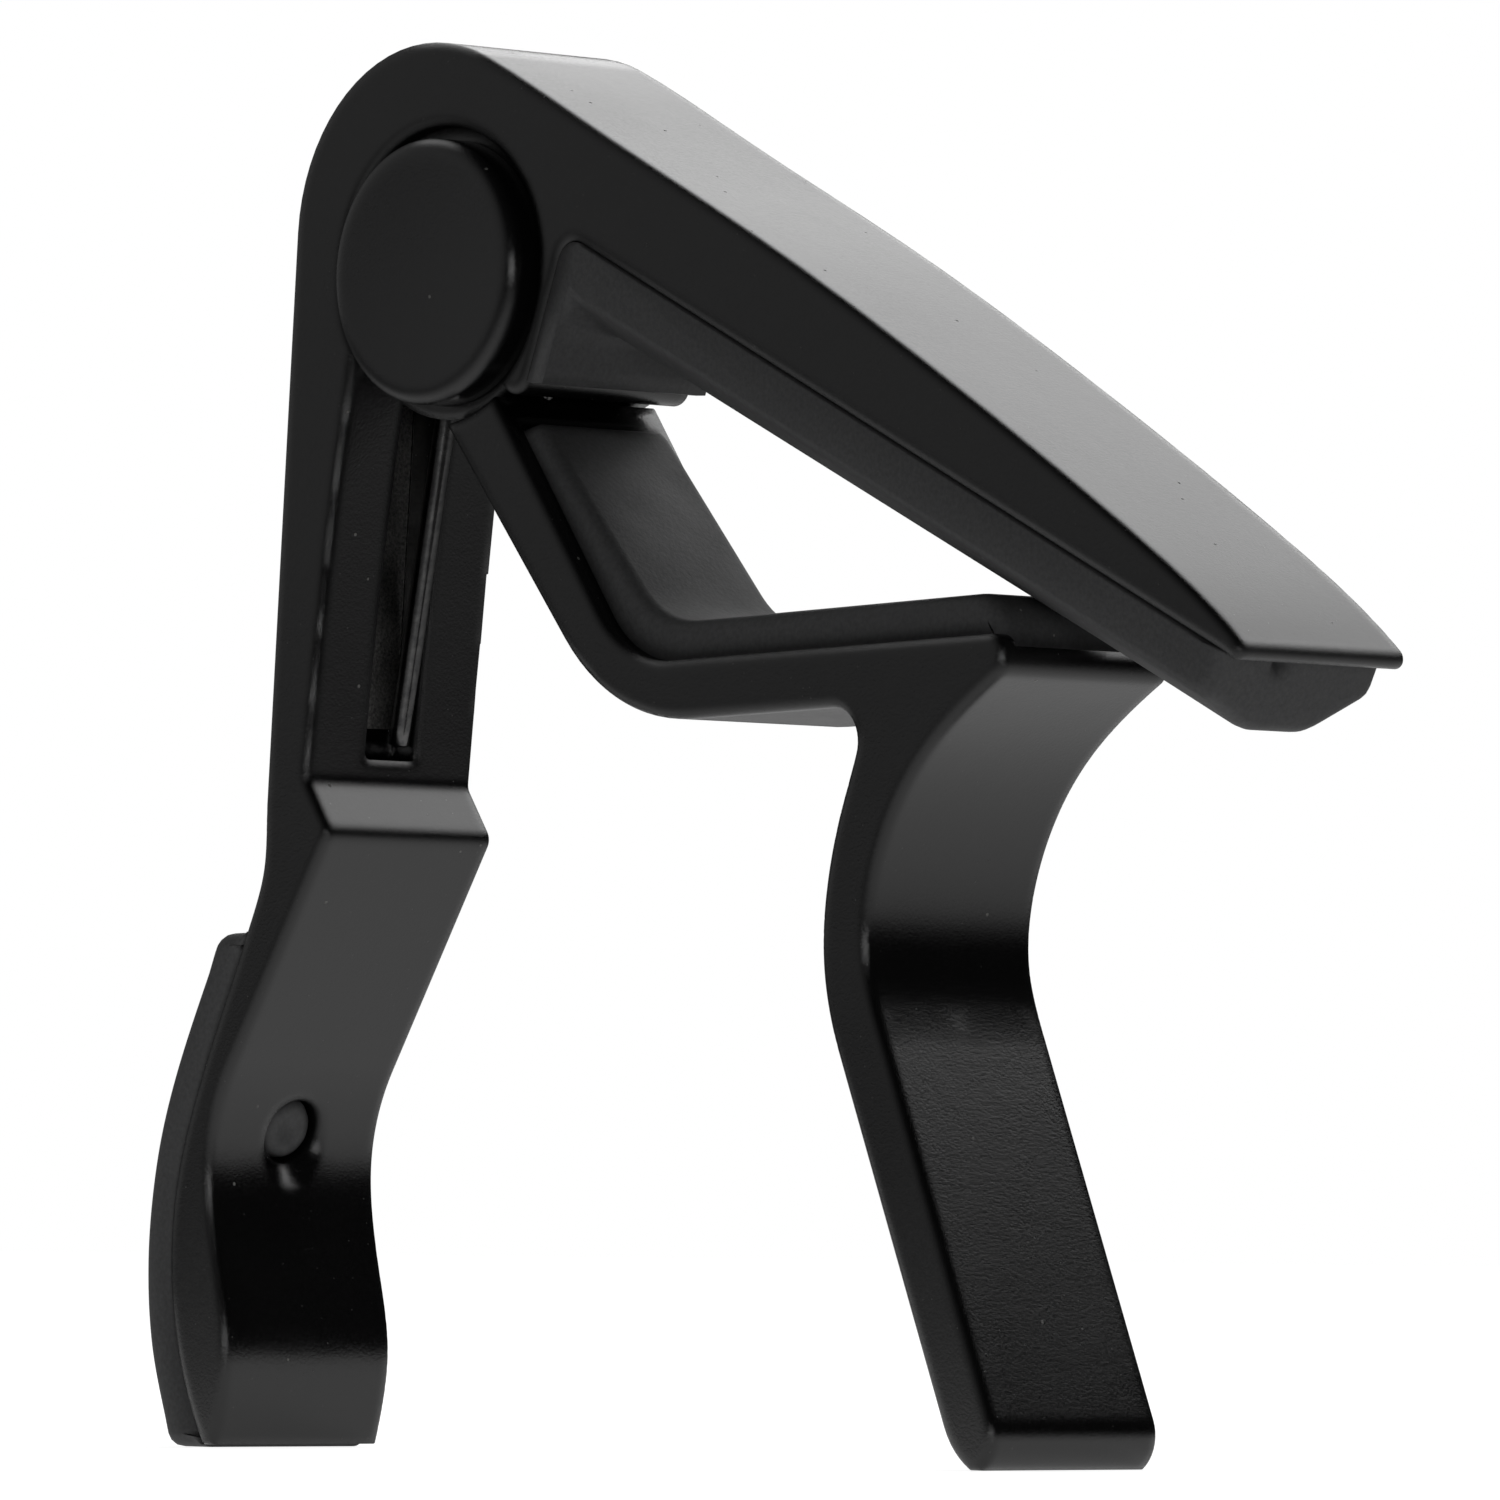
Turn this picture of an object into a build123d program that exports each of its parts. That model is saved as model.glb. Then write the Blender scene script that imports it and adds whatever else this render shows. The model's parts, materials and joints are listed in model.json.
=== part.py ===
from build123d import *
import math
import os

# Squeeze capo, millimetres. Profiles are drawn in the X-Z plane about the pivot axis,
# which runs along Y. At the end everything is lifted so that both feet stand on Z = 0.

# ---- driving dimensions -------------------------------------------------------------
HALF_WIDTH = 7.25         # half the width of both castings
EDGE_ROUND = 0.38         # rounding of the long cast edges, lever
JAW_ROUND = 0.39          # and jaw
FLOOR_Z = -75.7           # both feet, below the pivot
LEFT_X = -27.8            # widest point of the grip pad, left of the pivot
TIP_X = 71.7              # end of the bar, right of the pivot

HUB_CENTRE = (-1.45, 2.5)
HUB_RADIUS = 12.4
BORE_RADIUS = 9.4         # round chamber through the hub
CHEEK_IN = 4.7            # hub cheeks that carry the pin
CHEEK_OUT = 6.0

PIN_RADIUS = 2.5
PIN_HALF = 7.75
FIXED_GAP = 0.02          # pin in cheeks and caps
RUNNING_GAP = 0.05        # pin in the jaw's ears
CAP_RADIUS = 8.55
CAP_IN = 6.05
CAP_OUT = 8.75

EAR_RADIUS = 8.3
EAR_IN = 3.0
EAR_OUT = 4.2
WASHER_IN = 4.25
WASHER_OUT = 4.65
MANDREL_RADIUS = 5.75
MANDREL_HALF = 2.9

WIRE = 0.7                # spring wire radius
COIL_RADIUS = 6.9
COIL_PITCH = 1.42
LEG_A_Y = 1.5             # side of the pocket the long leg lies on
LEG_A_TIP = (-12.93, -29.7)
LEG_B_DIR = 250.0         # direction of the short leg, degrees from +X towards +Z
LEG_B_LENGTH = 9.3

POCKET_HALF = 2.25        # spring pocket in the lever
POCKET_END_Z = -30.6
SKIN = 1.45               # lever wall left behind the pocket
STRIP = 0.4               # steel strip on the pocket floor

BAR_SLOPE = 0.483         # underside of the bar, fall per mm
PAD_THICK = 5.2           # fretboard pad, square to the bar
PAD_WALL = 3.15           # its upright side before the bevel
PAD_FLAT = 2.7            # half width of its flat playing face
PAD_HALF = 6.95

NECK_SEAT = 0.8           # neck pad below the rim
NECK_HALF = 5.9

PEG_RADIUS = 2.2          # peg of the grip pad, in the lever's hole
PEG_POINT = (-20.95, -55.2)
PEG_DIR = (0.94, -0.34)


# ---- helpers ------------------------------------------------------------------------
def slab(edges, half, corners=()):
    """Closed X-Z outline, its listed corners rounded, to a solid from -half to +half."""
    face = make_face(Plane.XZ * Curve(edges))
    for x, z, radius in corners:
        corner = face.vertices().sort_by_distance((x, 0, z))[0]
        face = fillet(corner, radius)
    return extrude(face, half, both=True)


def disc(radius, y0, y1, at=(0, 0)):
    """Cylinder along Y between y0 and y1."""
    plane = Plane(origin=(at[0], y0, at[1]), z_dir=(0, 1, 0))
    return extrude(plane * Circle(radius), y1 - y0)


def round_sides(solid, half, radius):
    """Round the edges that border the two flat sides."""
    for side in (-1, 1):
        face = solid.faces().sort_by(Axis.Y)[0 if side < 0 else -1]
        solid = fillet(face.outer_wire().edges(), radius)
    return solid


def under(x, drop=0.0):
    """Point on the bar's underside line, or below it, square to the bar."""
    length = math.hypot(1, BAR_SLOPE)
    z = 0.6 - BAR_SLOPE * (x - 14.5)
    return (x - drop * BAR_SLOPE / length, z - drop / length)


def along(point, direction, distance):
    return (point[0] + direction[0] * distance, point[1] + direction[1] * distance)


# ---- shared curves --------------------------------------------------------------------
ARM = (0.582, -0.813)                 # direction of the jaw arm
ARM_OUT = (0.813, 0.582)              # from the arm towards the neck
RIM_CORNER = (17.72, -25.62)
RIM_RISE = 0.03


def rim_line(offset, start, end_x, radius):
    """Jaw line: down the arm, round the elbow, along the jaw. Offset is towards the neck."""
    top = along(along((5.1, -8.0), ARM, start), ARM_OUT, offset)
    shift = offset * (ARM_OUT[1] - 1) / ARM[1]
    corner_z = RIM_CORNER[1] + offset + RIM_RISE * shift
    corner = (RIM_CORNER[0] + offset * ARM_OUT[0] + ARM[0] * (
        (RIM_CORNER[1] + offset * ARM_OUT[1]) - corner_z) / -ARM[1], corner_z)
    end = (end_x, corner_z + RIM_RISE * (end_x - corner[0]))
    return FilletPolyline(top, corner, end, radius=radius), top, end


PAD_SEAT = ((-17.9, -42.1), (-22.45, -52.0), (-24.75, -59.4), (-24.65, -67.6), (-21.7, -75.5))
grip_seat = Spline(*PAD_SEAT)
leg_line_top = (11.86, 1.87)
leg_line_low = (8.39, -7.4)


# ---- lever casting: bar, hub and rear lever in one piece ----------------------------------
lean = math.atan(0.0623)
hub_left = (HUB_CENTRE[0] - HUB_RADIUS * math.cos(lean), HUB_CENTRE[1] + HUB_RADIUS * math.sin(lean))
hub_top = (HUB_CENTRE[0] + HUB_RADIUS * 0.4147, HUB_CENTRE[1] + HUB_RADIUS * 0.91)
hub_mid = (HUB_CENTRE[0] - HUB_RADIUS * 0.707, HUB_CENTRE[1] + HUB_RADIUS * 0.707)
lever_knee = (hub_left[0] - 0.0623 * 36.9, hub_left[1] - 36.9)
bore_right = (6.0, -7.236)
bore_left = (-8.1, -4.77)

lever_back = Line(lever_knee, hub_left)
lever_front = Line((-9.95, -35.8), (-19.3, -51.0))
knee_back = Spline((-17.9, -42.1), (-16.35, -38.0), lever_knee,
                   tangents=((0.42, 0.91), lever_back % 0))
foot_front = Spline((-19.3, -51.0), (-21.3, -57.5), (-19.8, -66.5), (-20.6, -75.5),
                    tangents=(lever_front % 1, (-0.3, -0.95)))
bar_nose = (TIP_X, -25.9)
bar_lip = (TIP_X, under(TIP_X)[1] - 0.35)
bar_top = Spline(hub_top, (13.1, 9.0), (29.7, 0.5), (45.8, -8.65), (61.4, -18.3), bar_nose,
                 tangents=((0.91, -0.4147), (0.73, -0.68)))
outline = [
    ThreePointArc(hub_left, hub_mid, hub_top),
    bar_top,
    Line(bar_nose, bar_lip),
    Line(bar_lip, under(70.4)),
    Line(under(70.4), leg_line_top),
    Line(leg_line_top, leg_line_low),
    ThreePointArc(leg_line_low, (7.25, -8.15), bore_right),
    ThreePointArc(bore_right, (0, BORE_RADIUS), bore_left),
    ThreePointArc(bore_left, (-10.5, -18.3), (-12.25, -32.4)),
    Line((-12.25, -32.4), (-9.95, -35.8)),
    lever_front,
    foot_front,
    Line((-20.6, -75.5), (-21.7, -75.5)),
    grip_seat,
    knee_back,
    lever_back,
]
lever_corners = (
    (bar_nose[0], bar_nose[1], 0.7),
    (bar_lip[0], bar_lip[1], 0.55),
    (leg_line_top[0], leg_line_top[1], 1.5),
    (-12.25, -32.4, 0.8),
    (-9.95, -35.8, 1.0),
)
lever = slab(outline, HALF_WIDTH, lever_corners)
lever = round_sides(lever, HALF_WIDTH, EDGE_ROUND)

# two cheeks close the chamber round the pin, set in from the sides so the caps sit in a recess
chamber = [
    ThreePointArc(bore_right, (0, BORE_RADIUS), bore_left),
    ThreePointArc(bore_left, (0, -BORE_RADIUS), bore_right),
]
cheeks = slab(chamber, CHEEK_OUT) - slab(chamber, CHEEK_IN)
lever = lever + cheeks - disc(PIN_RADIUS + FIXED_GAP, -8, 8)

# spring pocket: a slot down the inner face of the lever, with a round lower end
floor_top = (hub_left[0] - 0.0623 * 8.9 + SKIN, hub_left[1] - 8.9)
floor_low = (hub_left[0] - 0.0623 * (hub_left[1] - POCKET_END_Z) + SKIN, POCKET_END_Z)
pocket = slab(Polyline(floor_top, floor_low, (-9.0, POCKET_END_Z - 0.6), (-6.5, -5.6),
                       (-8.9, -3.3), close=True).edges(), POCKET_HALF)
pocket_low = pocket.faces().sort_by(Axis.Z)[0].edges().filter_by(Axis.X, tolerance=20)
pocket = fillet(pocket_low, 0.5)
lever = lever - pocket

# hole for the grip pad's peg
peg_plane = Plane(origin=(PEG_POINT[0], 0, PEG_POINT[1]), z_dir=(PEG_DIR[0], 0, PEG_DIR[1]))
hole = extrude(peg_plane.offset(-8) * Circle(PEG_RADIUS + FIXED_GAP), 12)
flare = peg_plane.offset(-0.4) * Cone(PEG_RADIUS, PEG_RADIUS + 1.2, 1.2,
                                      align=(Align.CENTER, Align.CENTER, Align.MIN))
lever = lever - hole - flare

# ---- jaw casting: ears, arm, neck jaw and trigger in one piece ------------------------------
rim, rim_top, rim_end = rim_line(0, 0.235, 48.6, 7.3)
back_top = (0.75, -9.76)
back_end = (35.5, -28.86)
back = FilletPolyline(back_top, (16.6, -29.43), back_end, radius=14.3)
shin_front = Line((41.6, -49.6), (51.16, -72.6))
shin_back = Line((47.0, -73.1), (37.5, -50.3))
trigger_front = Spline((51.6, -27.0), (44.1, -32.8), (40.45, -39.5), (39.95, -44.6), (41.6, -49.6),
                       tangents=((-0.86, -0.52), shin_front % 0))
trigger_back = Spline((37.5, -50.3), (35.98, -43.2), (37.25, -35.8), (39.6, -28.74),
                      tangents=(shin_back % 1, (0.25, 0.97)))
jaw_corner = (51.6, rim_end[1] + RIM_RISE * 3.0)
outer_line = [
    rim,
    Line(rim_end, jaw_corner),
    Line(jaw_corner, (51.6, -27.0)),
    trigger_front,
    shin_front,
    TangentArc((51.16, -72.6), (50.3, FLOOR_Z), tangent=shin_front % 1),
    Line((50.3, FLOOR_Z), (49.3, FLOOR_Z)),
    TangentArc((47.0, -73.1), (49.3, FLOOR_Z), tangent=(shin_back % 0) * -1),
    shin_back,
    trigger_back,
    Line((39.6, -28.74), back_end),
    back,
    ThreePointArc(back_top, (3.2, -9.17), rim_top),
]
jaw_corners = (
    (jaw_corner[0], jaw_corner[1], 1.2),
    (51.6, -27.0, 0.8),
    (39.6, -28.74, 2.2),
)
jaw = slab(outer_line, HALF_WIDTH, jaw_corners)
jaw = round_sides(jaw, HALF_WIDTH, JAW_ROUND)

# tongue and ears, narrow enough to turn between the hub's cheeks
tongue = slab(Polyline(along((1.9, -9.7), ARM, 1.2), along(rim_top, ARM, 1.2),
                       along(rim_top, ARM, -4.2), along((1.9, -9.7), ARM, -4.2),
                       close=True).edges(), EAR_OUT)
tongue = tongue - disc(COIL_RADIUS + WIRE + 0.35, -EAR_IN, EAR_IN)
ears = disc(EAR_RADIUS, -EAR_OUT, -EAR_IN) + disc(EAR_RADIUS, EAR_IN, EAR_OUT)
jaw = jaw + tongue + ears - disc(PIN_RADIUS + RUNNING_GAP, -8, 8)

# shallow seat for the neck pad, open at the corner
seat_top, a0, a1 = rim_line(0.9, 2.3, 53.0, 6.4)
seat_low, b0, b1 = rim_line(-NECK_SEAT, 2.3, 53.0, 8.1)
seat = slab([seat_top, Line(a1, b1), seat_low, Line(b0, a0)], NECK_HALF + 0.05)
jaw = jaw - seat

# ---- torsion spring -----------------------------------------------------------------------
reach = math.hypot(*LEG_A_TIP)
tip_angle = math.degrees(math.atan2(LEG_A_TIP[1], LEG_A_TIP[0])) % 360
leg_a_dir = math.radians(tip_angle + math.degrees(math.asin(COIL_RADIUS / reach)))
leg_a_length = math.sqrt(reach ** 2 - COIL_RADIUS ** 2)
a_start = (LEG_A_TIP[0] - math.cos(leg_a_dir) * leg_a_length,
           LEG_A_TIP[1] - math.sin(leg_a_dir) * leg_a_length)
b_dir = math.radians(LEG_B_DIR)
b_start = (-COIL_RADIUS * math.sin(b_dir), COIL_RADIUS * math.cos(b_dir))
b_tip = along(b_start, (math.cos(b_dir), math.sin(b_dir)), LEG_B_LENGTH)

start_angle = math.degrees(math.atan2(a_start[1], a_start[0]))
end_angle = math.degrees(math.atan2(b_start[1], b_start[0]))
turns = 2 + ((start_angle - end_angle) % 360) / 360
LEG_B_Y = LEG_A_Y - COIL_PITCH * turns
coil_line = Helix(COIL_PITCH, COIL_PITCH * turns, COIL_RADIUS)
coil_plane = Plane(origin=(0, LEG_A_Y, 0), x_dir=(a_start[0], 0, a_start[1]), z_dir=(0, -1, 0))
coil_path = coil_plane * coil_line
coil = sweep(Plane(origin=coil_path @ 0, z_dir=coil_path % 0) * Circle(WIRE), path=coil_path,
             is_frenet=True)


def rod(p, q, y):
    """Straight wire from p, where it leaves the coil, to q; a ball fills the slight bend at p."""
    vector = Vector(q[0] - p[0], 0, q[1] - p[1])
    body = extrude(Plane(origin=(p[0], y, p[1]), z_dir=vector) * Circle(WIRE), vector.length)
    return body + Pos(p[0], y, p[1]) * Sphere(WIRE * 1.02) + Pos(q[0], y, q[1]) * Sphere(WIRE)


spring = coil + rod(a_start, LEG_A_TIP, LEG_A_Y) + rod(b_start, b_tip, LEG_B_Y)

# the short leg sits in a hole drilled through the root of the jaw arm
leg_hole = extrude(Plane(origin=(b_start[0], LEG_B_Y, b_start[1]),
                         z_dir=(math.cos(b_dir), 0, math.sin(b_dir))) * Circle(WIRE + 0.15), 16)
jaw = jaw - leg_hole

# ---- pin, caps, washers, mandrel ------------------------------------------------------------
pin = disc(PIN_RADIUS, -PIN_HALF, PIN_HALF)
pin = chamfer(pin.edges().filter_by(GeomType.CIRCLE), 0.3)


def cap(side):
    """Round cap with a rolled edge and a faint dish, bored to take the pin's end."""
    body = disc(CAP_RADIUS, CAP_IN, CAP_OUT)
    body = fillet(body.edges().filter_by(GeomType.CIRCLE).sort_by(Axis.Y)[-1], 0.7)
    dish = Pos(0, CAP_OUT + 150 - 0.18, 0) * Sphere(150)
    body = body - dish - disc(PIN_RADIUS + FIXED_GAP, CAP_IN - 1, PIN_HALF + 0.05)
    if side < 0:
        body = mirror(body, Plane.XZ)
    return body


near_washer = disc(5.2, -WASHER_OUT, -WASHER_IN) - disc(PIN_RADIUS + RUNNING_GAP, -8, 8)
far_washer = disc(5.2, WASHER_IN, WASHER_OUT) - disc(PIN_RADIUS + RUNNING_GAP, -8, 8)
mandrel = disc(MANDREL_RADIUS, -MANDREL_HALF, MANDREL_HALF)
mandrel = chamfer(mandrel.edges().filter_by(GeomType.CIRCLE), 0.3)
mandrel = mandrel - disc(PIN_RADIUS + RUNNING_GAP, -8, 8)

# ---- strike plate: steel strip on the pocket floor --------------------------------------------
strip_top = along(floor_top, (-0.062, -0.998), 2.0)
strip_low = along(floor_low, (-0.062, -0.998), -1.9)
plate = slab(Polyline(strip_top, strip_low, (strip_low[0] + STRIP, strip_low[1]),
                      (strip_top[0] + STRIP, strip_top[1]), close=True).edges(), POCKET_HALF - 0.05)

# ---- fretboard pad: long pad under the bar with a thin leg down the hub wall -------------------
pad_end = 70.1
leg_low_right = (9.9, -7.55)
inner_corner = (11.36, -3.66)
pad_lines = [
    Line(under(pad_end), leg_line_top),
    Line(leg_line_top, leg_line_low),
    Line(leg_line_low, leg_low_right),
    Line(leg_low_right, inner_corner),
    Line(inner_corner, under(pad_end, PAD_THICK)),
    Line(under(pad_end, PAD_THICK), under(pad_end)),
]
pad_foot = under(pad_end, PAD_THICK)
pad_corners = (
    (leg_line_top[0], leg_line_top[1], 1.5),
    (inner_corner[0], inner_corner[1], 0.8),
    (leg_low_right[0], leg_low_right[1], 0.5),
    (pad_foot[0], pad_foot[1], 0.5),
)
fret_pad = slab(pad_lines, PAD_HALF, pad_corners)
bar_dir = Vector(1, 0, -BAR_SLOPE).normalized()
start = under(13.75)
bevel_plane = Plane(origin=(start[0], 0, start[1]), x_dir=(0, 1, 0), z_dir=bar_dir)
for side in (-1, 1):
    wedge = Polyline((side * 7.2, -PAD_WALL + 0.15), (side * 7.2, -6.5), (side * PAD_FLAT, -6.5),
                     (side * PAD_FLAT, -PAD_THICK), close=True)
    fret_pad = fret_pad - extrude(bevel_plane * make_face(wedge), 70)
notch = Pos(pad_end, 0, under(pad_end)[1]) * Box(4.4, 1.2, 3.0)
fret_pad = fret_pad - notch

# ---- neck pad ---------------------------------------------------------------------------------
c0 = (7.95, -9.77)
c1 = (50.2, -21.9)
n_top = FilletPolyline(c0, (19.33, -22.98), c1, radius=6.5)
n_low, d0, d1 = rim_line(-NECK_SEAT, 2.35, 50.2, 8.1)
neck = slab([n_top, Line(c1, d1), n_low, Line(d0, c0)], NECK_HALF)
ends = neck.edges().filter_by(Axis.Y)
top_corner = ends.sort_by_distance((c0[0], 0, c0[1]))[0]
neck = fillet(top_corner, 1.0)
end_corner = neck.edges().filter_by(Axis.Y).sort_by_distance((c1[0], 0, c1[1]))[0]
neck = fillet(end_corner, 2.4)
inner = n_top.edges()
lip = []
for edge in neck.edges():
    centre = edge.center()
    if abs(abs(centre.Y) - NECK_HALF) > 0.01:
        continue
    flat = Vertex(centre.X, 0, centre.Z)
    if min(flat.distance_to(Plane.XZ * piece) for piece in inner) < 1.0:
        lip.append(edge)
neck = fillet(lip, 0.9)

# ---- grip pad with its peg ---------------------------------------------------------------------
grip_lines = [
    grip_seat,
    Line((-21.7, -75.5), (-21.75, FLOOR_Z)),
    Line((-21.75, FLOOR_Z), (-23.6, FLOOR_Z)),
    ThreePointArc((-23.6, FLOOR_Z), (-25.1, -75.2), (-25.9, -73.9)),
    Spline((-25.9, -73.9), (-27.35, -69.0), (LEFT_X, -63.8), (-27.1, -57.3), (-22.1, -44.7)),
    ThreePointArc((-22.1, -44.7), (-20.55, -42.65), (-17.9, -42.1)),
]
grip = slab(grip_lines, HALF_WIDTH - 0.1)
outer_edges = []
for edge in grip.edges():
    centre = edge.center()
    if abs(abs(centre.Y) - HALF_WIDTH + 0.1) < 0.01 and centre.X < -25.0:
        outer_edges.append(edge)
grip = fillet(outer_edges, 0.7)
peg = extrude(peg_plane.offset(-3.4) * Circle(PEG_RADIUS), 2.3)
peg_face = peg.faces().sort_by(Axis.X)[-1]
peg = fillet(peg_face.edges(), 0.8)
grip = grip + (peg - slab(grip_lines, HALF_WIDTH - 0.1))

# ---- place and save -----------------------------------------------------------------------------
place = Pos(-(LEFT_X + TIP_X) / 2, 0, -FLOOR_Z)
parts = {
    "lever_casting": lever,
    "jaw_casting": jaw,
    "pivot_pin": pin,
    "near_cap": cap(-1),
    "far_cap": cap(1),
    "near_washer": near_washer,
    "far_washer": far_washer,
    "spring_mandrel": mandrel,
    "torsion_spring": spring,
    "strike_plate": plate,
    "fretboard_pad": fret_pad,
    "neck_pad": neck,
    "grip_pad": grip,
}
os.makedirs("parts", exist_ok=True)
for name, solid in parts.items():
    export_step(place * solid, f"parts/{name}.step")
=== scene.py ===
import json
import math

import bmesh
import bpy
from mathutils import Matrix, Vector, noise


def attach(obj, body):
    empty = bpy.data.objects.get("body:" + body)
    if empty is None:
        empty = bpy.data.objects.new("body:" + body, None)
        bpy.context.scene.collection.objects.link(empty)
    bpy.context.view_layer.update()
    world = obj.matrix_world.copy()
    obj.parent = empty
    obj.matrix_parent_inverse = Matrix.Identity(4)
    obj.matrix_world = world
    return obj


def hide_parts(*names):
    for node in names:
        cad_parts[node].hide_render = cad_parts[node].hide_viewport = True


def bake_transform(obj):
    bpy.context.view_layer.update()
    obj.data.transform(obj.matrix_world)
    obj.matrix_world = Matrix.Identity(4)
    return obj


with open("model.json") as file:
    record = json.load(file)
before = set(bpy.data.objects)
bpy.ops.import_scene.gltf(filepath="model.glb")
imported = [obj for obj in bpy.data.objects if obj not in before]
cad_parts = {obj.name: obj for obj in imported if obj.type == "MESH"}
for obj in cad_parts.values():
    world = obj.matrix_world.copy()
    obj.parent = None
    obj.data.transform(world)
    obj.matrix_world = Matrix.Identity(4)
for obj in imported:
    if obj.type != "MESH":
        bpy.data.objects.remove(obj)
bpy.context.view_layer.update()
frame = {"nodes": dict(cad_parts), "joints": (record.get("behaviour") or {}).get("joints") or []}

PIVOT = Vector(frame["joints"][0]["pos_m"])

# camera, in degrees and metres; the offsets are from the pivot to the middle of the view
AZIMUTH, ELEVATION, ROLL = 46.3, -2.325, 0.62
DISTANCE = 0.7797
OFFSET_RIGHT, OFFSET_UP = -0.014953, 0.030393
SENSOR, LENS = 36, 289.9
AIM_Y = -0.25             # millimetres: the view is centred this far to the near side


def at(x, y, z):
    """Millimetres from the pivot to the row frame in metres."""
    return PIVOT + Vector((x, y, z)) / 1000


# ---- camera at the photograph's viewing angle -------------------------------------
def make_camera():
    az, el, roll = (math.radians(v) for v in (AZIMUTH, ELEVATION, ROLL))
    back = Vector((math.sin(az) * math.cos(el), -math.cos(az) * math.cos(el), math.sin(el)))
    right = Vector((math.cos(az), math.sin(az), 0))
    up = back.cross(right)
    right, up = (right * math.cos(roll) + up * math.sin(roll),
                 up * math.cos(roll) - right * math.sin(roll))
    data = bpy.data.cameras.new("photo_camera")
    data.sensor_width = SENSOR
    data.lens = LENS
    data.clip_start, data.clip_end = 0.05, 60
    cam = bpy.data.objects.new("photo_camera", data)
    bpy.context.scene.collection.objects.link(cam)
    place = at(0, AIM_Y, 0) + back * DISTANCE - right * OFFSET_RIGHT - up * OFFSET_UP
    cam.matrix_world = Matrix((
        (right.x, up.x, back.x, place.x),
        (right.y, up.y, back.y, place.y),
        (right.z, up.z, back.z, place.z),
        (0, 0, 0, 1)))
    bpy.context.scene.camera = cam


make_camera()


# ---- node helpers ------------------------------------------------------------------
EDGE_SAMPLES = 6


class Shader:
    """A node material with its Principled shader and short ways to add nodes."""

    def __init__(self, name):
        self.mat = bpy.data.materials.new(name)
        self.mat.use_nodes = True
        self.tree = self.mat.node_tree
        self.bsdf = self.tree.nodes["Principled BSDF"]
        self.coord = self.tree.nodes.new("ShaderNodeTexCoord")

    def set(self, **values):
        for key, value in values.items():
            self.bsdf.inputs[key.replace("_", " ")].default_value = value

    def link(self, source, target):
        self.tree.links.new(source, target)

    def noise(self, scale, detail=3.0, rough=0.5, stretch=None):
        node = self.tree.nodes.new("ShaderNodeTexNoise")
        node.inputs["Scale"].default_value = scale
        node.inputs["Detail"].default_value = detail
        node.inputs["Roughness"].default_value = rough
        source = self.coord.outputs["Object"]
        if stretch:
            mapping = self.tree.nodes.new("ShaderNodeMapping")
            mapping.inputs["Scale"].default_value = stretch
            self.link(source, mapping.inputs["Vector"])
            source = mapping.outputs["Vector"]
        self.link(source, node.inputs["Vector"])
        return node.outputs["Fac"]

    def specks(self, scale, size, sparse):
        """Mask of small round specks, one in each of the few cells whose value passes sparse."""
        cell = self.tree.nodes.new("ShaderNodeTexVoronoi")
        cell.inputs["Scale"].default_value = scale
        self.link(self.coord.outputs["Object"], cell.inputs["Vector"])
        dot = self.ramp(cell.outputs["Distance"], size * 0.6, size, 1.0, 0.0)
        pick = self.ramp(cell.outputs["Color"], sparse, sparse + 0.02, 0.0, 1.0)
        return self.math("MULTIPLY", dot, pick)

    def ramp(self, source, low, high, out_low, out_high):
        node = self.tree.nodes.new("ShaderNodeMapRange")
        node.inputs["From Min"].default_value = low
        node.inputs["From Max"].default_value = high
        node.inputs["To Min"].default_value = out_low
        node.inputs["To Max"].default_value = out_high
        self.link(source, node.inputs["Value"])
        return node.outputs["Result"]

    def math(self, kind, a, b):
        node = self.tree.nodes.new("ShaderNodeMath")
        node.operation = kind
        for slot, value in zip(node.inputs, (a, b)):
            if isinstance(value, (int, float)):
                slot.default_value = value
            else:
                self.link(value, slot)
        return node.outputs[0]

    def mix(self, mask, colour_a, colour_b):
        node = self.tree.nodes.new("ShaderNodeMix")
        node.data_type = "RGBA"
        self.link(mask, node.inputs["Factor"])
        for slot, value in ((node.inputs[6], colour_a), (node.inputs[7], colour_b)):
            if isinstance(value, tuple):
                slot.default_value = (*value, 1)
            else:
                self.link(value, slot)
        return node.outputs[2]

    def bump(self, height, strength, distance, under=None):
        node = self.tree.nodes.new("ShaderNodeBump")
        node.inputs["Strength"].default_value = strength
        node.inputs["Distance"].default_value = distance
        self.link(height, node.inputs["Height"])
        if under is not None:
            self.link(under, node.inputs["Normal"])
        return node.outputs["Normal"]

    def rounded_edges(self, radius):
        """Normal eased over sharp edges, as thick paint flows over them."""
        node = self.tree.nodes.new("ShaderNodeBevel")
        node.samples = EDGE_SAMPLES
        node.inputs["Radius"].default_value = radius
        return node.outputs["Normal"]

    def finish(self, colour, rough=None, normal=None):
        self.link(colour, self.bsdf.inputs["Base Color"])
        if rough is not None:
            self.link(rough, self.bsdf.inputs["Roughness"])
        if normal is not None:
            self.link(normal, self.bsdf.inputs["Normal"])
        return self.mat


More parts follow.
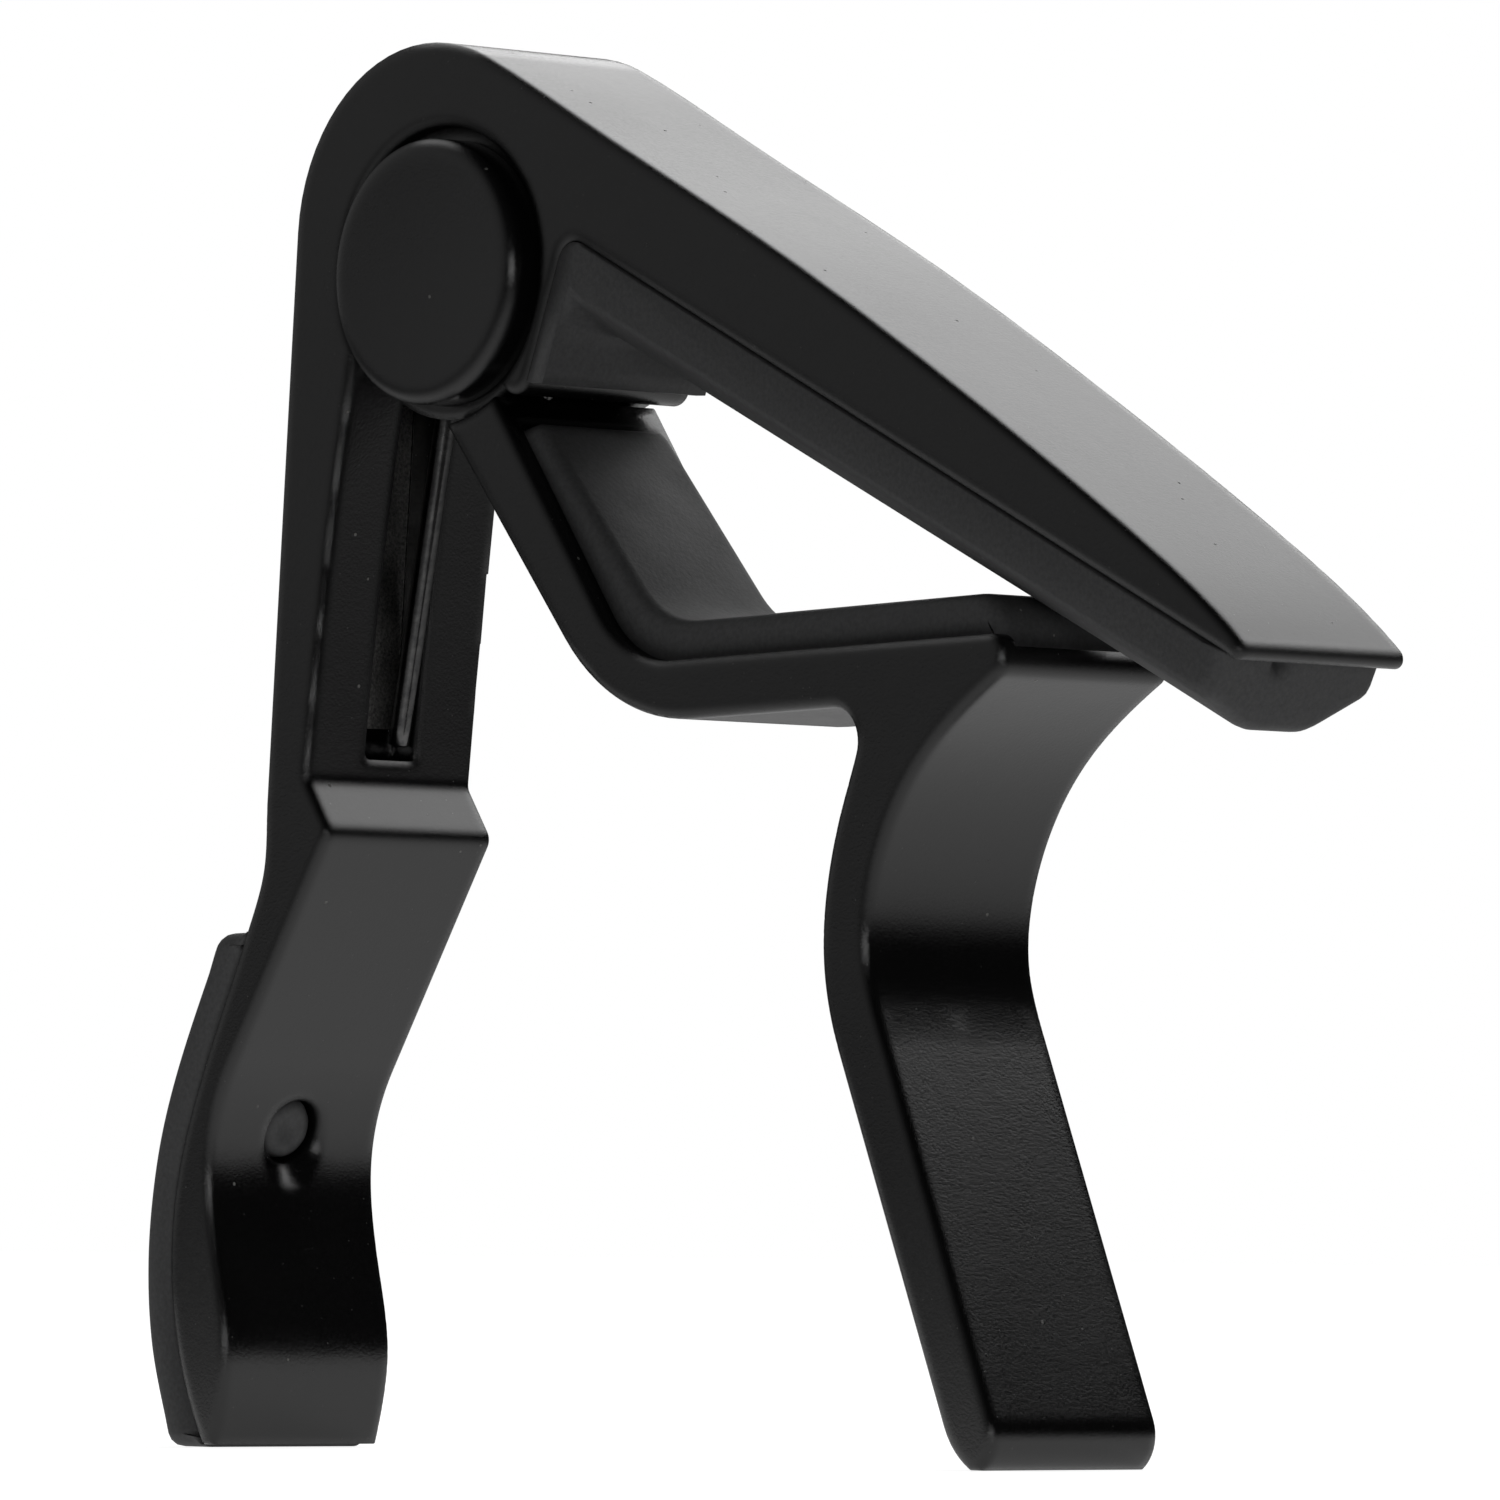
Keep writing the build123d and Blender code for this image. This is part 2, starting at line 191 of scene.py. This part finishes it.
# ---- materials ---------------------------------------------------------------------
def enamel(name, base, rough_low, rough_high):
    """Gloss paint on a casting: slight ripple, fine grain, faint scuffs and a little dust."""
    s = Shader(name)
    s.set(IOR=1.5)
    cloud = s.noise(70, 5)
    dust = s.specks(620, 0.085, 0.70)
    fine = s.specks(1700, 0.10, 0.68)
    mask = s.math("MAXIMUM", dust, s.math("MULTIPLY", fine, 0.30))
    grain = s.noise(5200, 3, 0.6)
    dark = s.mix(cloud, tuple(c * 0.5 for c in base), tuple(c * 1.5 for c in base))
    colour = s.mix(mask, dark, (0.10, 0.10, 0.094))
    scuff = s.ramp(s.noise(260, 8, 0.7, stretch=(1, 1, 6)), 0.62, 0.75, 0.0, 0.12)
    rough = s.math("ADD", s.ramp(cloud, 0.3, 0.7, rough_low, rough_high), scuff)
    rough = s.math("ADD", rough, s.math("MULTIPLY", mask, 0.5))
    rough = s.math("ADD", rough, s.ramp(grain, 0.35, 0.7, 0.0, 0.10))
    peel = s.bump(s.noise(420, 2), 0.03, 0.0002, s.rounded_edges(0.0011))
    peel = s.bump(grain, 0.30, 0.00003, peel)
    normal = s.bump(mask, 0.25, 0.00004, peel)
    return s.finish(colour, rough, normal)


def rubber():
    """Matt moulded rubber: fine grain, cloudy tone and a little dust."""
    s = Shader("pad_rubber")
    s.set(IOR=1.45)
    s.set(Specular_IOR_Level=0.35)
    cloud = s.noise(110, 5, 0.6)
    grain = s.noise(3200, 3, 0.6)
    dust = s.specks(800, 0.09, 0.72)
    patch = s.mix(cloud, (0.036, 0.0362, 0.037), (0.062, 0.0622, 0.063))
    colour = s.mix(s.ramp(grain, 0.3, 0.7, 0, 0.6), patch, (0.026, 0.026, 0.0265))
    colour = s.mix(dust, colour, (0.14, 0.14, 0.13))
    rough = s.ramp(cloud, 0.3, 0.7, 0.52, 0.66)
    normal = s.bump(grain, 0.35, 0.00006)
    normal = s.bump(s.noise(500, 4), 0.12, 0.0002, normal)
    return s.finish(colour, rough, normal)


def steel(name, low, high, rough, stretch=(1, 1, 1), scale=900, bump=0.15):
    """Bare metal with streaks between two tones."""
    s = Shader(name)
    s.set(Metallic=1.0)
    streak = s.noise(scale, 5, 0.65, stretch=stretch)
    colour = s.mix(s.ramp(streak, 0.3, 0.7, 0, 1), low, high)
    roughness = s.ramp(s.noise(240, 4), 0.3, 0.7, rough * 0.75, rough * 1.3)
    return s.finish(colour, roughness, s.bump(streak, bump, 0.00005))


def plastic(name, low, high, rough):
    """Moulded plastic with a cloudy tone and fine grain."""
    s = Shader(name)
    cloud = s.noise(160, 4)
    colour = s.mix(cloud, low, high)
    normal = s.bump(s.noise(1800, 3), 0.2, 0.00005)
    return s.finish(colour, s.ramp(cloud, 0.3, 0.7, rough - 0.06, rough + 0.06), normal)


ENAMEL = enamel("cast_black", (0.0018, 0.0018, 0.0019), 0.10, 0.17)
CAP = enamel("cap_black", (0.0028, 0.0028, 0.003), 0.12, 0.19)
RUBBER = rubber()
WIRE = steel("spring_steel", (0.05, 0.05, 0.052), (0.12, 0.119, 0.117), 0.24, scale=1500)
STRIP = steel("strip_steel", (0.06, 0.06, 0.06), (0.26, 0.255, 0.245), 0.5, scale=5200, bump=0.5)
PIN = steel("pin_steel", (0.45, 0.45, 0.46), (0.66, 0.66, 0.67), 0.28, stretch=(1, 12, 1))
NYLON = plastic("washer_plastic", (0.62, 0.6, 0.55), (0.74, 0.72, 0.67), 0.45)
MANDREL = plastic("mandrel_plastic", (0.010, 0.010, 0.010), (0.022, 0.022, 0.022), 0.5)

finishes = {
    "lever_casting": ENAMEL, "jaw_casting": ENAMEL, "near_cap": CAP, "far_cap": CAP,
    "pivot_pin": PIN, "near_washer": NYLON, "far_washer": NYLON, "spring_mandrel": MANDREL,
    "torsion_spring": WIRE, "strike_plate": STRIP,
    "fretboard_pad": RUBBER, "neck_pad": RUBBER, "grip_pad": RUBBER,
}
for name, node in frame["nodes"].items():
    for s in node.material_slots:
        s.material = finishes[name]


# ---- curve helpers, X-Z plane, millimetres from the pivot -----------------------------
def rounded(points, radii, step=6.0):
    """Polyline with its inner corners rounded; radii are for the inner points."""
    out = [points[0]]
    for i, radius in enumerate(radii, start=1):
        p, q, r = (Vector(points[j]) for j in (i - 1, i, i + 1))
        u, v = (p - q).normalized(), (r - q).normalized()
        half = math.acos(max(-1, min(1, u.dot(v)))) / 2
        reach = radius / math.tan(half)
        centre = q + (u + v).normalized() * radius / math.sin(half)
        a, b = q + u * reach - centre, q + v * reach - centre
        sweep = a.angle_signed(b)
        count = max(3, int(abs(math.degrees(sweep)) / step))
        for k in range(count + 1):
            turn = Matrix.Rotation(-sweep * k / count, 2)
            out.append(tuple(centre + turn @ a))
    out.append(points[-1])
    return out


def resample(points, spacing):
    """Points at an even spacing along a polyline."""
    pts = [Vector(p) for p in points]
    lengths = [0.0]
    for a, b in zip(pts, pts[1:]):
        lengths.append(lengths[-1] + (b - a).length)
    count = max(2, round(lengths[-1] / spacing))
    out, j = [], 0
    for k in range(count + 1):
        s = lengths[-1] * k / count
        while j < len(pts) - 2 and lengths[j + 1] < s:
            j += 1
        span = lengths[j + 1] - lengths[j]
        t = 0 if span < 1e-9 else (s - lengths[j]) / span
        out.append(tuple(pts[j].lerp(pts[j + 1], t)))
    return out


def smooth_curve(points, count):
    """Smooth curve through points (Catmull-Rom, chord-length tangents)."""
    pts = [Vector(p) for p in points]
    tang = []
    for i in range(len(pts)):
        if 0 < i < len(pts) - 1:
            d0, d1 = (pts[i] - pts[i - 1]), (pts[i + 1] - pts[i])
            t = (d0 / d0.length * d1.length + d1 / d1.length * d0.length)
            tang.append(t / (d0.length + d1.length))
        else:
            tang.append(None)
    tang[0] = ((pts[1] - pts[0]).normalized() * 1.5 - tang[1] * 0.5)
    tang[-1] = ((pts[-1] - pts[-2]).normalized() * 1.5 - tang[-2] * 0.5)
    out = []
    for i in range(len(pts) - 1):
        length = (pts[i + 1] - pts[i]).length
        for k in range(count):
            t = k / count
            h = (2*t**3 - 3*t**2 + 1, t**3 - 2*t**2 + t, -2*t**3 + 3*t**2, t**3 - t**2)
            out.append(tuple(pts[i] * h[0] + tang[i] * length * h[1]
                             + pts[i + 1] * h[2] + tang[i + 1] * length * h[3]))
    out.append(tuple(pts[-1]))
    return out


def skin(name, sections, material):
    """Closed mesh from rings of points, one ring per section, with a face over each end."""
    bm = bmesh.new()
    rings = [[bm.verts.new(at(*p)) for p in ring] for ring in sections]
    n = len(rings[0])
    for a, b in zip(rings, rings[1:]):
        for i in range(n):
            j = (i + 1) % n
            bm.faces.new((a[i], a[j], b[j], b[i]))
    bm.faces.new(list(reversed(rings[0])))
    bm.faces.new(rings[-1])
    bmesh.ops.recalc_face_normals(bm, faces=bm.faces)
    mesh = bpy.data.meshes.new(name)
    bm.to_mesh(mesh)
    bm.free()
    mesh.materials.append(material)
    for face in mesh.polygons:
        face.use_smooth = True
    obj = bpy.data.objects.new(name, mesh)
    bpy.context.scene.collection.objects.link(obj)
    return obj


def rolled_edge(half, lip, steps):
    """(y, depth) points over a lip, from the side of a lining to its face."""
    turns = [math.pi / 2 * k / steps for k in range(steps + 1)]
    return [(half - lip + lip * math.cos(a), lip * (1 - math.sin(a))) for a in turns]


def lining(name, line, seat, profile, half, to_seat, most_fall):
    """Pad whose face follows line, backed by the nearest points of seat.

    profile gives the depth of its face below line at each y; to_seat is how far its back
    reaches towards the seat, and most_fall caps a depth, both as shares of the thickness.
    """
    seats = [Vector(p) for p in seat]
    sections = []
    for i, p in enumerate(line):
        p = Vector(p)
        a, b = Vector(line[max(0, i - 1)]), Vector(line[min(len(line) - 1, i + 1)])
        along = (b - a).normalized()
        inward = Vector((along.y, -along.x))
        hit = min(seats, key=lambda s: (s - p).length)
        depth = (hit - p).length
        base = p.lerp(hit, to_seat)
        ring = [(base.x, -half, base.y)]
        for y, d in profile:
            q = p + inward * min(d, depth * most_fall)
            ring.append((q.x, y, q.y))
        ring.append((base.x, half, base.y))
        sections.append(ring)
    return skin(name, sections, RUBBER)


# ---- fretboard pad: long bevelled pad with a thin leg down the hub wall ------------------
BAR_SLOPE = 0.483
BAR_LEN = math.hypot(1, BAR_SLOPE)
BAR_FROM = (14.5, 0.6)    # a point on the bar's underside
PAD_HALF = 7.15
PAD_FLAT = 2.6            # half width of the flat playing face
PAD_START, PAD_END = 13.9, 70.1
PAD_EASE = 0.8            # radius of the eased outer edges
PAD_DEEP = 5.75           # thickness at the hub, falling towards the tip
PAD_FALL = 0.55
FALL_ENDS = 0.8           # share of the length after which it falls no more
WALL_NEAR, WALL_FAR = 3.35, 2.75    # height of the side walls at the hub
WALL_FALL = 0.25
PAD_STEPS = 40
LEG_LEAN = 0.374          # X over Z of the leg's face away from the hub
LEG_FOOT = (9.9, -7.55)   # lower corner of that face
DIMPLE_Y, DIMPLE_DROP, DIMPLE_DEPTH = -1.7, 0.55, 0.9


def under(x, drop=0.0):
    """Point under the bar's underside at x, drop square to it."""
    z = BAR_FROM[1] - BAR_SLOPE * (x - BAR_FROM[0])
    return (x - drop * BAR_SLOPE / BAR_LEN, z - drop / BAR_LEN)


def fretboard_pad():
    """One ring of points per station across the pad; the edges are eased in the rings."""
    ys = [PAD_HALF, 7.12, 7.02, 6.84, 6.6, 6.35, 5.6, 4.6, 3.7, 3.2, 2.8, 2.4, 2.05, 1.7,
          1.35, 1.0, 0.5]
    ys = [-y for y in ys] + [0.0] + list(reversed(ys))
    stations = [PAD_START + (PAD_END - PAD_EASE - PAD_START) * k / PAD_STEPS
                for k in range(PAD_STEPS + 1)]
    sections = []
    for y in ys:
        outer = abs(y)
        bevel = min(1, max(0, (outer - PAD_FLAT) / (PAD_HALF - PAD_FLAT)))
        near_edge = max(0, (outer - (PAD_HALF - PAD_EASE)) / PAD_EASE)
        tuck = PAD_EASE * (1 - math.sqrt(1 - near_edge ** 2))
        corner = 0.10 * math.exp(-((outer - PAD_FLAT) / 0.45) ** 2)

        def drop_at(u):
            deep = PAD_DEEP - PAD_FALL * min(u, FALL_ENDS)
            wall = (WALL_NEAR if y < 0 else WALL_FAR) - WALL_FALL * u
            return deep + (wall - deep) * bevel - corner - 0.55 * tuck

        # the bar side from the tip to the hub, over the corner and down the leg
        ring = [under(x - tuck, 0.03 + 0.25 * tuck) for x in reversed(stations)]
        ring += rounded([(13.3, 1.14), (11.9, 1.82), (11.2, 0.0)], [1.4], 12)
        ring += [(10.2, -2.7), (9.3, -5.1), (8.44, -7.38), (9.0, -7.52), (9.85, -7.55)]
        ring += [(10.25, -6.5), (10.7, -5.3), (11.01, -4.45)]
        # the underside, kept clear of the leg
        for x in stations:
            u = (x - PAD_START) / (PAD_END - PAD_START)
            px, pz = under(x - tuck, drop_at(u))
            ring.append((max(px, LEG_FOOT[0] + LEG_LEAN * (pz - LEG_FOOT[1])), pz))
        # the end: an eased lower edge, then up the face past the dimple
        low = drop_at(1)
        for k in range(1, 6):
            turn = math.pi / 2 * k / 5
            ring.append(under(PAD_END - PAD_EASE - tuck + PAD_EASE * math.sin(turn),
                              low - PAD_EASE * (1 - math.cos(turn))))
        for share in (0.8, 0.6, 0.45, 0.3, 0.2, 0.1, 0.04):
            drop = (low - PAD_EASE) * share
            away = ((y - DIMPLE_Y) / 0.5) ** 2 + ((drop - DIMPLE_DROP) / 0.45) ** 2
            ring.append(under(PAD_END - tuck - DIMPLE_DEPTH * math.exp(-away), drop))
        sections.append([(p[0], y, p[1]) for p in ring])
    return skin("fretboard_pad_rubber", sections, RUBBER)


# ---- neck pad: bent lining with rolled lips ------------------------------------------------
NECK_HALF, NECK_LIP = 5.88, 1.05
NECK_END = 50.15
SEAT_DEPTH = 0.74         # how far the pad sits below the jaw's rim
ARM = Vector((0.582, -0.813))          # down the jaw's arm
ARM_OUT = Vector((0.813, 0.582))       # square to it


def neck_pad():
    face = rounded([(5.86, -10.32), (7.85, -9.83), (19.33, -23.0), (NECK_END, -21.93),
                    (NECK_END, -25.35)], [1.0, 6.5, 2.4], 5)
    top = Vector((5.1, -8.0)) + ARM * 2.4 - ARM_OUT * SEAT_DEPTH
    elbow = (17.72 - SEAT_DEPTH * 0.5, -25.62 - SEAT_DEPTH)
    end = (NECK_END, elbow[1] + 0.03 * (NECK_END - elbow[0]))
    seat = rounded([tuple(top), elbow, end], [8.0], 5)
    edge = rolled_edge(NECK_HALF, NECK_LIP, 6)
    profile = [(-y, d) for y, d in edge] + [(0.0, 0.0)] + list(reversed(edge))
    return lining("neck_pad_rubber", resample(face, 0.55), resample(seat, 0.2), profile,
                  NECK_HALF, 0.98, 0.8)


# ---- grip pad: outer skin of the lever's foot ----------------------------------------------
GRIP_HALF, GRIP_LIP = 7.12, 0.85
PEG_CENTRE = Vector((-20.95, 0, -55.2))
PEG_OUT = Vector((0.94, 0, -0.34)).normalized()
PEG_POINTS = 40
PEG_ROUGH = 0.05          # unevenness of the dome, as a share of its radius


def grip_pad():
    seat = smooth_curve([(-17.9, -42.1), (-22.45, -52.0), (-24.75, -59.4), (-24.65, -67.6),
                         (-21.7, -75.5)], 14)
    outer = smooth_curve([(-25.9, -73.9), (-27.35, -69.0), (-27.8, -63.8), (-27.1, -57.3),
                          (-22.1, -44.7)], 14)
    start = rounded([(-21.8, -75.68), (-25.35, -75.68), (-25.9, -73.9)], [1.2], 12)[:-1]
    stop = rounded([(-22.1, -44.7), (-21.05, -42.2), (-17.95, -42.12)], [1.6], 12)[1:]
    edge = rolled_edge(GRIP_HALF, GRIP_LIP, 5)
    profile = [(-y, d) for y, d in edge] + [(-3.0, 0.0), (0.0, 0.0), (3.0, 0.0)]
    profile += list(reversed(edge))
    return lining("grip_pad_rubber", resample(start + outer + stop, 0.5), resample(seat, 0.5),
                  profile, GRIP_HALF, 0.97, 0.75)


def grip_peg():
    """Rubber peg in the lever's hole: an uneven, slightly dished dome on a short shank."""
    side = Vector((0, 1, 0))
    up = PEG_OUT.cross(side)
    # radius and height along the peg's axis; the wide rows are the smooth shank
    rows = [(2.12, -3.6), (2.14, -1.9), (2.1, -1.45), (1.95, -1.05), (1.62, -0.8), (1.2, -0.72),
            (0.75, -0.82), (0.35, -0.95), (0.05, -0.98)]
    sections = []
    for r, d in rows:
        ring = []
        for k in range(PEG_POINTS):
            a = 2 * math.pi * k / PEG_POINTS
            spot = Vector((math.cos(a) * 2, math.sin(a) * 2, d * 3))
            lump = 1 if r > 2.0 else 1 + PEG_ROUGH * noise.noise(spot)
            around = side * math.cos(a) + up * math.sin(a)
            q = PEG_CENTRE + PEG_OUT * (d + 0.12 * (lump - 1) * 10) + around * r * lump
            ring.append(tuple(q))
        sections.append(ring)
    return skin("grip_peg_rubber", sections, RUBBER)


# ---- torsion spring: one wire, coil and both legs --------------------------------------------
COIL_RADIUS, WIRE_RADIUS, COIL_PITCH = 6.9, 0.7, 1.42
LONG_LEG_Y = 1.5
LONG_LEG_TIP = Vector((-12.93, -29.7))
SHORT_LEG_DIR, SHORT_LEG_LENGTH = 250, 9.3
TIP_SHARE, TIP_LENGTH = 0.75, 0.12     # each end of the wire narrows to this share
LONG_LEG_STEPS, SHORT_LEG_STEPS, TURN_STEPS, WIRE_POINTS = 24, 8, 48, 20


def spring():
    """The wire, and the y of its long and short legs."""
    reach = LONG_LEG_TIP.length
    tip_angle = math.degrees(math.atan2(LONG_LEG_TIP.y, LONG_LEG_TIP.x)) % 360
    long_dir = math.radians(tip_angle + math.degrees(math.asin(COIL_RADIUS / reach)))
    long_length = math.sqrt(reach ** 2 - COIL_RADIUS ** 2)
    start = LONG_LEG_TIP - Vector((math.cos(long_dir), math.sin(long_dir))) * long_length
    short_dir = math.radians(SHORT_LEG_DIR)
    end = Vector((-COIL_RADIUS * math.sin(short_dir), COIL_RADIUS * math.cos(short_dir)))
    short_tip = end + Vector((math.cos(short_dir), math.sin(short_dir))) * SHORT_LEG_LENGTH
    start_angle = math.degrees(math.atan2(start.y, start.x))
    end_angle = math.degrees(math.atan2(end.y, end.x))
    turns = 2 + ((start_angle - end_angle) % 360) / 360
    short_leg_y = LONG_LEG_Y - COIL_PITCH * turns

    path = []
    for k in range(LONG_LEG_STEPS):
        p = LONG_LEG_TIP.lerp(start, k / LONG_LEG_STEPS)
        path.append(Vector((p.x, LONG_LEG_Y, p.y)))
    count = int(turns * TURN_STEPS)
    for k in range(count + 1):
        t = k / count
        a = math.radians(start_angle) - 2 * math.pi * turns * t
        y = LONG_LEG_Y + (short_leg_y - LONG_LEG_Y) * t
        path.append(Vector((COIL_RADIUS * math.cos(a), y, COIL_RADIUS * math.sin(a))))
    for k in range(1, SHORT_LEG_STEPS + 1):
        p = end.lerp(short_tip, k / SHORT_LEG_STEPS)
        path.append(Vector((p.x, short_leg_y, p.y)))

    last = len(path) - 1
    sections = []
    for i, p in enumerate(path):
        along = (path[min(i + 1, last)] - path[max(i - 1, 0)]).normalized()
        side = along.cross(Vector((0, 1, 0))).normalized()
        up = side.cross(along)
        rims = [(WIRE_RADIUS, 0.0)]
        if i == 0:
            rims.insert(0, (WIRE_RADIUS * TIP_SHARE, -TIP_LENGTH))
        if i == last:
            rims.append((WIRE_RADIUS * TIP_SHARE, TIP_LENGTH))
        for r, shift in rims:
            turns_round = [2 * math.pi * k / WIRE_POINTS for k in range(WIRE_POINTS)]
            sections.append([tuple(p + along * shift + (side * math.cos(t) + up * math.sin(t)) * r)
                             for t in turns_round])
    return skin("torsion_spring_wire", sections, WIRE), LONG_LEG_Y, short_leg_y


# ---- place the pieces ---------------------------------------------------------------
piece = fretboard_pad()
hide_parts("fretboard_pad")
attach(piece, "lever_body")

piece = neck_pad()
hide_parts("neck_pad")
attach(piece, "jaw_body")

for piece in (grip_pad(), grip_peg()):
    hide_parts("grip_pad")
    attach(piece, "lever_body")

piece, y_a, y_b = spring()
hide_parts("torsion_spring")
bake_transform(piece)

# ---- stage and light ----------------------------------------------------------------
# the floor looks white to the camera, but dims with distance in the light that it throws
FLOOR = 6                 # half its side, metres
floor_mesh = bpy.data.meshes.new("floor")
floor_mesh.from_pydata([(-FLOOR, -FLOOR, 0), (FLOOR, -FLOOR, 0), (FLOOR, FLOOR, 0),
                        (-FLOOR, FLOOR, 0)], [], [(0, 1, 2, 3)])
floor = bpy.data.objects.new("floor", floor_mesh)
bpy.context.scene.collection.objects.link(floor)
paper = Shader("floor_paper")
paper.set(Roughness=0.95)
paper.set(Specular_IOR_Level=0.1)
paper.set(Emission_Color=(1, 1, 1, 1))
radius = paper.tree.nodes.new("ShaderNodeVectorMath")
radius.operation = "LENGTH"
paper.link(paper.coord.outputs["Object"], radius.inputs[0])
seen = paper.ramp(radius.outputs["Value"], 0.10, 0.35, 0.86, 1.02)
thrown = paper.ramp(radius.outputs["Value"], 0.03, 0.32, 0.66, 0.04)
kind = paper.tree.nodes.new("ShaderNodeLightPath").outputs["Is Camera Ray"]
blend = paper.tree.nodes.new("ShaderNodeMix")
for source, target in ((kind, 0), (thrown, 2), (seen, 3)):
    paper.link(source, blend.inputs[target])
paper.link(blend.outputs[0], paper.bsdf.inputs["Emission Strength"])
# the floor's colour is painted darker away from the object, as painted shade, so the far floor
# sends back less light
near_tone = paper.mix(paper.noise(30, 4), (0.54, 0.54, 0.54), (0.58, 0.58, 0.58))
far_off = paper.ramp(radius.outputs["Value"], 0.15, 0.5, 0, 1)
tone = paper.mix(far_off, near_tone, (0.12, 0.12, 0.12))
floor_mesh.materials.append(paper.finish(tone))

# the room is white to the camera, and dim to the object: lighter at the left front
world = bpy.data.worlds.new("studio")
bpy.context.scene.world = world
world.use_nodes = True
wn = world.node_tree
back_white = wn.nodes["Background"]
back_white.inputs["Color"].default_value = (1, 1, 1, 1)
room = wn.nodes.new("ShaderNodeBackground")
coord = wn.nodes.new("ShaderNodeTexCoord")
dot = wn.nodes.new("ShaderNodeVectorMath")
dot.operation = "DOT_PRODUCT"
dot.inputs[1].default_value = Vector((-0.80, -0.60, 0.0)).normalized()
wn.links.new(coord.outputs["Generated"], dot.inputs[0])
ramp = wn.nodes.new("ShaderNodeMapRange")
ramp.interpolation_type = "SMOOTHSTEP"
ramp.inputs["From Min"].default_value = 0.2
ramp.inputs["From Max"].default_value = 1.0
ramp.inputs["To Min"].default_value = 0.02
ramp.inputs["To Max"].default_value = 0.40
wn.links.new(dot.outputs["Value"], ramp.inputs["Value"])
wn.links.new(ramp.outputs["Result"], room.inputs["Strength"])
path = wn.nodes.new("ShaderNodeLightPath")
choose = wn.nodes.new("ShaderNodeMixShader")
wn.links.new(path.outputs["Is Camera Ray"], choose.inputs[0])
wn.links.new(room.outputs[0], choose.inputs[1])
wn.links.new(back_white.outputs[0], choose.inputs[2])
wn.links.new(choose.outputs[0], wn.nodes["World Output"].inputs["Surface"])


LIT_POINT = Vector((0, 0, 0.045))


def soft_box(name, direction, distance, width, height, power):
    """Rectangular light facing the object from a direction, hidden from the camera."""
    data = bpy.data.lights.new(name, "AREA")
    data.shape = "RECTANGLE"
    data.size, data.size_y = width, height
    data.energy = power
    lamp = bpy.data.objects.new(name, data)
    bpy.context.scene.collection.objects.link(lamp)
    aim = Vector(direction).normalized()
    lamp.location = LIT_POINT + aim * distance
    lamp.rotation_euler = aim.to_track_quat("Z", "Y").to_euler()
    lamp.visible_camera = False


soft_box("back_box", (-0.36, 0.69, 0.60), 1.3, 1.3, 0.9, 6.7)
soft_box("back_box_right", (0.26, 0.69, 0.68), 1.3, 0.6, 0.6, 2.6)
soft_box("top_box", (-0.62, -0.05, 0.78), 1.2, 0.7, 0.5, 1.6)
soft_box("front_strip", (0.735, -0.675, 0.07), 1.1, 0.10, 0.22, 1.8)

bpy.context.scene.view_settings.view_transform = "Standard"
